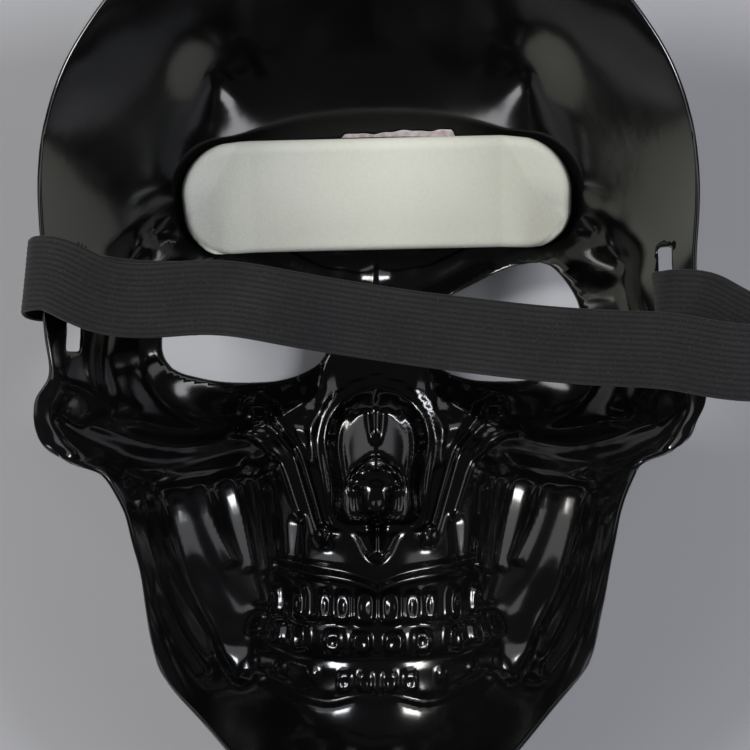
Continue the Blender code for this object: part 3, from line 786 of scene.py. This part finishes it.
def add_piece(name, points, faces, material, node):
    """Make a smooth mesh piece in metres that stands for a node."""
    mesh = bpy.data.meshes.new(name)
    mesh.from_pydata(points, [], faces)
    mesh.validate()
    mesh.shade_smooth()
    mesh.materials.append(material)
    piece = bpy.data.objects.new(name, mesh)
    bpy.context.scene.collection.objects.link(piece)
    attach(piece, "root")
    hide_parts(node)
    return piece


def make_shell():
    """Model the moulded shell and give how mask coordinates become the frame's."""
    u, v = np.meshgrid(crowded(SHELL_COLUMNS, *COLUMN_CROWDING), crowded(SHELL_ROWS, *ROW_CROWDING))
    u, v, state = snap_to_holes(u, v)
    inner, outer = face_sheets(u, v)
    lean = find_lean(outer)
    inner, outer = level(inner, lean).reshape(-1, 3), level(outer, lean).reshape(-1, 3)
    faces = sheet_faces(state, inner[:, :2])
    loops, walls = edge_walls(inner, outer, faces)
    total = len(inner)
    under = [tuple(total + i for i in face[::-1]) for face in faces]
    points = np.concatenate([inner, outer, loops])
    faces = faces + under + walls
    used = np.unique(np.concatenate([np.ravel(face) for face in faces]))
    number = np.full(len(points), -1)
    number[used] = np.arange(len(used))
    points = points[used]
    faces = [tuple(number[list(face)]) for face in faces]
    low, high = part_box("mask_shell")
    middle = (points.min(0) + points.max(0)) / 2
    offset = (np.array(low) + np.array(high)) / 2 / MM - middle
    offset[2] = low[2] / MM - points[:, 2].min()
    piece = add_piece("skull_shell", (points + offset) * MM, faces, plastic(), "mask_shell")
    return piece, lean, offset


def strap_frames():
    """Give the strap's middle line with the directions across and out of its face."""
    line = run_through(STRAP, STRAP_STEPS + 1)
    middle = line[:, :3]
    forward = np.gradient(middle, axis=0)
    forward /= np.linalg.norm(forward, axis=1, keepdims=True)
    side = np.stack([line[:, 3], np.ones(len(line)), line[:, 4]], 1)
    side -= forward * np.sum(side * forward, axis=1, keepdims=True)
    side /= np.linalg.norm(side, axis=1, keepdims=True)
    return middle, side, np.cross(forward, side)


def strap_section():
    """Give the strap's ribbed cross section, as places across and out."""
    across = np.linspace(-1, 1, STRAP_RIBS * RIB_POINTS + 1)
    rib = RIB_DEPTH * (0.5 - 0.5 * np.cos((across + 1) * np.pi * STRAP_RIBS))
    thin = np.sqrt(1 - np.abs(across) ** STRAP_SQUARENESS)
    half = (STRAP_THICKNESS / 2 - RIB_DEPTH + rib) * thin
    top = np.stack([across * STRAP_WIDTH / 2, half], 1)
    bottom = np.stack([across * STRAP_WIDTH / 2, -half], 1)[::-1]
    return np.concatenate([top, bottom[1:-1]])


def make_strap(lean, offset):
    """Model the woven elastic with its lengthwise ribs."""
    middle, side, out = strap_frames()
    section = strap_section()
    points = middle[:, None] + side[:, None] * section[None, :, :1] + out[:, None] * section[None, :, 1:]
    points = level(points, lean) + offset
    steps, around = points.shape[:2]
    number = np.arange(steps * around).reshape(steps, around)
    beside = np.roll(number, -1, axis=1)
    faces = np.stack([number[:-1], beside[:-1], beside[1:], number[1:]], -1).reshape(-1, 4)
    faces = [tuple(face[::-1]) for face in faces]
    faces.append(tuple(number[0]))
    faces.append(tuple(number[-1][::-1]))
    places = points.reshape(-1, 3) * MM
    piece = add_piece("woven_strap", places, faces, elastic(), "head_strap")
    travel = np.concatenate([[0], np.cumsum(np.linalg.norm(np.diff(middle, axis=0), axis=1))])
    weave = piece.data.uv_layers.new(name="weave")
    where = np.zeros((steps, around, 2))
    where[..., 0] = travel[:, None]
    where[..., 1] = section[None, :, 0]
    corners = np.zeros(len(piece.data.loops), int)
    piece.data.loops.foreach_get("vertex_index", corners)
    weave.uv.foreach_set("vector", where.reshape(-1, 2)[corners].astype(np.float32).ravel())
    return piece


def pad_outline():
    """Outline the pad: straight sides and round corners."""
    along, across = PAD_LENGTH / 2 - PAD_CORNER_RADIUS, PAD_HEIGHT / 2 - PAD_CORNER_RADIUS
    corners = ((along, across, 0), (-along, across, 90), (-along, -across, 180), (along, -across, 270))
    return np.array([(s + PAD_CORNER_RADIUS * np.cos(a), t + PAD_CORNER_RADIUS * np.sin(a))
                     for s, t, turn in corners
                     for a in np.radians(np.linspace(turn, turn + 90, PAD_CORNER_POINTS))])


def pad_plan(u, v):
    """Map a square to the pad's outline."""
    t = PAD_HEIGHT / 2 * np.sin(v * np.pi / 2)
    past = np.maximum(0, np.abs(t) - (PAD_HEIGHT / 2 - PAD_CORNER_RADIUS))
    reach = PAD_LENGTH / 2 - PAD_CORNER_RADIUS + np.sqrt(PAD_CORNER_RADIUS ** 2 - past ** 2)
    return u * reach, t


def shell_height(shell):
    """Give a function that finds how high the shell's inner face is over a point on a plane."""
    tree = BVHTree.FromObject(shell, bpy.context.evaluated_depsgraph_get())

    def height(foot, normal):
        hit = tree.ray_cast(foot + normal * RAY_START * MM, -normal)
        return RAY_START - hit[3] / MM

    return height


def pad_plane(height, offset):
    """Give the plane that the pad is pressed against: its origin and its three directions."""
    x, y = PAD_CENTRE + offset[:2]
    up = Vector((0, 0, 1))
    low, middle, high = (height(Vector((x, y + side, 0)) * MM, up)
                         for side in (-PAD_TILT_REACH, 0, PAD_TILT_REACH))
    slope = np.arctan2(high - low, 2 * PAD_TILT_REACH)
    turn = Matrix.Rotation(slope, 3, "X") @ Matrix.Rotation(PAD_TURN, 3, "Z")
    return Vector((x, y, middle)) * MM, turn.col[0], turn.col[1], turn.col[2]


def on_plane(s, t, raised, plane):
    """Place points given along, across and out of a plane, in metres."""
    origin, along, across, normal = (np.array(part) for part in plane)
    return origin + (along * s[..., None] + across * t[..., None] + normal * raised[..., None]) * MM


def under_height(s, t, height, plane):
    """Find how high the shell stands under each place on the pad's plane."""
    origin, along, across, normal = plane
    return np.array([max(height(origin + (along * a + across * b) * MM, normal), PAD_LOWEST)
                     for a, b in zip(s.ravel(), t.ravel())]).reshape(s.shape)


def grid_edge(rows, cols):
    """List the numbers of a grid's edge points in their order round it."""
    number = np.arange(rows * cols).reshape(rows, cols)
    return np.concatenate([number[0, :-1], number[:-1, -1], number[-1, :0:-1], number[:0:-1, 0]])


def block(bottom, sides, top):
    """Join a bottom grid, the loops round its side and a top grid into one closed block."""
    rows, cols = top.shape[:2]
    quads = grid_quads(rows, cols)
    edge = grid_edge(rows, cols)
    count = rows * cols
    loops = [edge]
    for k in range(len(sides)):
        loops.append(2 * count + k * len(edge) + np.arange(len(edge)))
    loops.append(count + edge)
    faces = [tuple(quad[::-1]) for quad in quads] + [tuple(quad) for quad in quads + count]
    for low, high in zip(loops, loops[1:]):
        faces += list(zip(low, np.roll(low, -1), np.roll(high, -1), high))
    return np.concatenate([bottom.reshape(-1, 3), top.reshape(-1, 3), *sides]), faces


def make_pad(height, plane):
    """Model the foam pad, cut from a sheet, with soft edges and a face that follows the brow."""
    u, v = np.meshgrid(crowded(PAD_COLUMNS, *PAD_CROWDING), np.linspace(-1, 1, PAD_ROWS + 1))
    s, t = pad_plan(u, v)
    seat = under_height(s, t, height, plane) + SEAT_GAP
    depth = np.maximum(inside_by(s, t, pad_outline()), 0)
    near = np.clip(PAD_EDGE_ROUND - depth, 0, PAD_EDGE_ROUND)
    rounding = PAD_EDGE_ROUND - np.sqrt(PAD_EDGE_ROUND ** 2 - near ** 2)
    face = PAD_THICKNESS + PAD_END_LIFT * np.maximum(0, np.abs(s) - PAD_FLAT_HALF)
    face = np.maximum(face, seat + PAD_THINNEST)
    crown = PAD_CROWN * rise(depth / (PAD_HEIGHT / 2))
    # The upper side leans out, so that its upper edge hides the uneven seat behind it.
    lean_out = PAD_OVERHANG * np.maximum(t, 0) / (PAD_HEIGHT / 2)
    top = on_plane(s, t + lean_out, face + crown - rounding, plane)
    bottom = on_plane(s, t, seat, plane)
    edge = grid_edge(*s.shape)
    low, high = bottom.reshape(-1, 3)[edge], top.reshape(-1, 3)[edge]
    inward = low.mean(0) - low
    inward /= np.linalg.norm(inward, axis=1, keepdims=True)
    sides = [low + (high - low) * share + inward * PAD_WAIST * MM * np.sin(np.pi * share)
             for share in np.arange(1, PAD_LOOPS + 1) / (PAD_LOOPS + 1)]
    points, faces = block(bottom, sides, top)
    pad = add_piece("foam_pad", points, faces, foam(), "forehead_pad")
    return pad


def make_tape(height, plane):
    """Model the strip of film that sticks out past the pad's upper edge."""
    u, v = np.meshgrid(np.linspace(-1, 1, TAPE_COLUMNS + 1), np.linspace(0, 1, TAPE_ROWS + 1))
    s = TAPE_MIDDLE_X + u * TAPE_LENGTH / 2
    ragged = sum(tall * np.sin(u * turns + start) for tall, turns, start in TAPE_WAVES)
    end = rise((1 - np.abs(u)) * TAPE_END_SLOPE + TAPE_END_SHARE)
    reach = TAPE_HEIGHT * (TAPE_REACH + ragged + TAPE_SLANT * u) * end
    t = PAD_HEIGHT / 2 + SEAT_GAP + v * reach
    seat = under_height(s, t, height, plane) + SEAT_GAP
    tall, turns, start = TAPE_CRINKLE
    crinkle = tall * v * (1 + np.sin(u * turns + start))
    bottom = on_plane(s, t, seat + crinkle, plane)
    top = on_plane(s, t, seat + crinkle + TAPE_FILM, plane)
    points, faces = block(bottom, [], top)
    return add_piece("tape_film", points, faces, film(), "pad_tape")


def add_node(tree, kind, inputs=(), **settings):
    """Add a shader node; an input's value may be another node's output."""
    node = tree.nodes.new(kind)
    for name, value in settings.items():
        setattr(node, name, value)
    for name, value in dict(inputs).items():
        if isinstance(value, bpy.types.NodeSocket):
            tree.links.new(value, node.inputs[name])
        else:
            node.inputs[name].default_value = value
    return node


def new_material(name, **values):
    """Start a material and set the plain numbers of its shader."""
    material = bpy.data.materials.new(name)
    material.use_nodes = True
    shader = material.node_tree.nodes["Principled BSDF"]
    for socket, value in values.items():
        shader.inputs[socket.replace("_", " ")].default_value = value
    return material, material.node_tree, shader


def noise(tree, place, name):
    """Give one of the noises."""
    scale, detail, roughness = NOISES[name]
    inputs = {"Vector": place, "Scale": scale, "Detail": detail, "Roughness": roughness}
    return add_node(tree, "ShaderNodeTexNoise", inputs).outputs["Fac"]


def stretch(tree, value, name):
    """Stretch a value from one range to another and clip it there."""
    low, high, to_low, to_high = STRETCHES[name]
    inputs = {"Value": value, "From Min": low, "From Max": high, "To Min": to_low, "To Max": to_high}
    return add_node(tree, "ShaderNodeMapRange", inputs).outputs["Result"]


def blend_colours(tree, share, first, second):
    """Mix two colours."""
    node = add_node(tree, "ShaderNodeMix", data_type="RGBA")
    for socket, value in zip(MIX_INPUTS, (share, first, second)):
        if isinstance(value, bpy.types.NodeSocket):
            tree.links.new(value, node.inputs[socket])
        else:
            node.inputs[socket].default_value = value
    return node.outputs[MIX_RESULT]


def raise_bumps(tree, shader, heights):
    """Stack the named bumps over each other."""
    normal = None
    for name, height in heights.items():
        strength, depth = BUMPS[name]
        inputs = {"Height": height, "Strength": strength, "Distance": depth}
        if normal:
            inputs["Normal"] = normal
        normal = add_node(tree, "ShaderNodeBump", inputs).outputs["Normal"]
    tree.links.new(normal, shader.inputs["Normal"])


def plastic():
    """Glossy black moulded plastic, with faint ripples and the haze of handling."""
    material, tree, shader = new_material("shell_plastic", IOR=1.5)
    place = add_node(tree, "ShaderNodeTexCoord").outputs["Object"]
    haze = noise(tree, place, "haze")
    rough = stretch(tree, haze, "haze_shine")
    tree.links.new(rough, shader.inputs["Roughness"])
    colour = blend_colours(tree, stretch(tree, haze, "haze_colour"), *PLASTIC_COLOURS)
    tree.links.new(colour, shader.inputs["Base Color"])
    raise_bumps(tree, shader, {name: noise(tree, place, name) for name in ("ripple", "grain")})
    return material


def foam():
    """Off-white open-cell foam: fine pores with painted shade in them, a soft cut surface and a faint yellow
    tint.
    """
    material, tree, shader = new_material("pad_foam", Roughness=0.95, Specular_IOR_Level=0.2)
    place = add_node(tree, "ShaderNodeTexCoord").outputs["Object"]
    cells = add_node(tree, "ShaderNodeTexVoronoi", {"Vector": place, "Scale": FOAM_CELLS}).outputs["Distance"]
    pores = noise(tree, place, "pores")
    patches = noise(tree, place, "patches")
    tint = blend_colours(tree, stretch(tree, patches, "foam_tint"), *FOAM_COLOURS)
    # Painted shade: the foam is darkened where its pores sink, following the pores' bump.
    pore_shaded = blend_colours(tree, stretch(tree, pores, "foam_pore_shade"), tint, PORE_SHADE_COLOUR)
    tree.links.new(pore_shaded, shader.inputs["Base Color"])
    raise_bumps(tree, shader, {"pores": pores, "cells": cells})
    return material


def film():
    """Pale pink sticky film with a soft shine."""
    material, tree, shader = new_material("tape_film", Roughness=0.35, Transmission_Weight=0.15)
    place = add_node(tree, "ShaderNodeTexCoord").outputs["Object"]
    wrinkle = noise(tree, place, "wrinkle")
    colour = blend_colours(tree, stretch(tree, wrinkle, "film_colour"), *FILM_COLOURS)
    tree.links.new(colour, shader.inputs["Base Color"])
    raise_bumps(tree, shader, {"wrinkle": wrinkle})
    return material


def calculate(tree, operation, *values):
    """Work out a sum from numbers and other nodes' outputs."""
    return add_node(tree, "ShaderNodeMath", dict(enumerate(values)), operation=operation).outputs[0]


def wave(tree, value, pitch):
    """Give a wave from -1 to 1 that repeats at a pitch."""
    return calculate(tree, "SINE", calculate(tree, "MULTIPLY", value, 2 * np.pi / pitch))


def elastic():
    """Charcoal woven elastic: cross threads over lengthwise ribs, with painted shade in the grooves between
    the ribs.
    """
    material, tree, shader = new_material("strap_elastic", Roughness=0.85, Specular_IOR_Level=0.2,
                                          Sheen_Weight=0.1, Sheen_Roughness=0.5)
    where = add_node(tree, "ShaderNodeUVMap", uv_map="weave").outputs["UV"]
    split = add_node(tree, "ShaderNodeSeparateXYZ", {"Vector": where})
    ribs = wave(tree, split.outputs["Y"], STRAP_WIDTH / STRAP_RIBS)
    threads = calculate(tree, "MULTIPLY", wave(tree, split.outputs["X"], THREAD_PITCH), ribs)
    place = add_node(tree, "ShaderNodeTexCoord").outputs["Object"]
    fuzz = noise(tree, place, "fuzz")
    wear = noise(tree, place, "wear")
    worn = blend_colours(tree, stretch(tree, wear, "elastic_wear"), *ELASTIC_COLOURS)
    # Painted shade: the grooves between the ribs are darkened, following the ribs' bump.
    ribbed = blend_colours(tree, stretch(tree, ribs, "rib_shade"), worn, RIB_GROOVE_SHADE)
    flecked = blend_colours(tree, stretch(tree, fuzz, "flecks"), ribbed, FLECK_COLOUR)
    tree.links.new(flecked, shader.inputs["Base Color"])
    raise_bumps(tree, shader, {"threads": stretch(tree, threads, "wave_height"),
                               "ribs": stretch(tree, ribs, "wave_height"), "fuzz": fuzz})
    return material


def floor_paint():
    """Plain pale grey paper."""
    material, tree, shader = new_material("backdrop", Roughness=0.8, Specular_IOR_Level=0.2)
    place = add_node(tree, "ShaderNodeTexCoord").outputs["Object"]
    mottle = noise(tree, place, "mottle")
    colour = blend_colours(tree, stretch(tree, mottle, "floor_mottle"), *FLOOR_COLOURS)
    tree.links.new(colour, shader.inputs["Base Color"])
    return material


def aim(thing, place, target, up=(0, 1, 0)):
    """Put a camera or light at a place, in metres, looking at another."""
    place, target = Vector(place), Vector(target)
    back = (place - target).normalized()
    right = Vector(up).cross(back).normalized()
    turn = Matrix((right, back.cross(right), back)).transposed().to_4x4()
    thing.matrix_world = Matrix.Translation(place) @ turn


def add_light(name, place, size, power, colour):
    """Hang a soft lamp that faces the origin."""
    light = bpy.data.lights.new(name, "AREA")
    light.shape = "RECTANGLE"
    light.size, light.size_y = size
    light.energy = power
    light.color = colour
    lamp = bpy.data.objects.new(name, light)
    bpy.context.scene.collection.objects.link(lamp)
    aim(lamp, place, (0, 0, 0))


def make_stage(offset):
    """Lay the floor and set the lights and the camera."""
    mesh = bpy.data.meshes.new("floor")
    half = FLOOR_SIZE / 2
    corners = [(-half, -half, 0), (half, -half, 0), (half, half, 0), (-half, half, 0)]
    mesh.from_pydata(corners, [], [(0, 1, 2, 3)])
    mesh.materials.append(floor_paint())
    floor = bpy.data.objects.new("floor", mesh)
    bpy.context.scene.collection.objects.link(floor)
    for light in LIGHTS:
        add_light(*light)
    world = bpy.data.worlds.new("studio")
    world.use_nodes = True
    world.node_tree.nodes["Background"].inputs["Color"].default_value = WORLD_COLOUR
    bpy.context.scene.world = world
    lens = bpy.data.cameras.new("camera")
    lens.sensor_width = SENSOR
    lens.lens = SENSOR * FOCAL_PIXELS / PHOTO_WIDTH
    camera = bpy.data.objects.new("camera", lens)
    bpy.context.scene.collection.objects.link(camera)
    aim(camera, (np.array(CAMERA_PLACE) + offset) * MM, (np.array(CAMERA_TARGET) + offset) * MM, CAMERA_UP)
    bpy.context.scene.camera = camera
    bpy.context.scene.view_settings.view_transform = "Standard"


shell, lean, offset = make_shell()
height = shell_height(shell)
plane = pad_plane(height, offset)
make_pad(height, plane)
make_tape(height, plane)
make_strap(lean, offset)
make_stage(offset * (1, 1, 0))
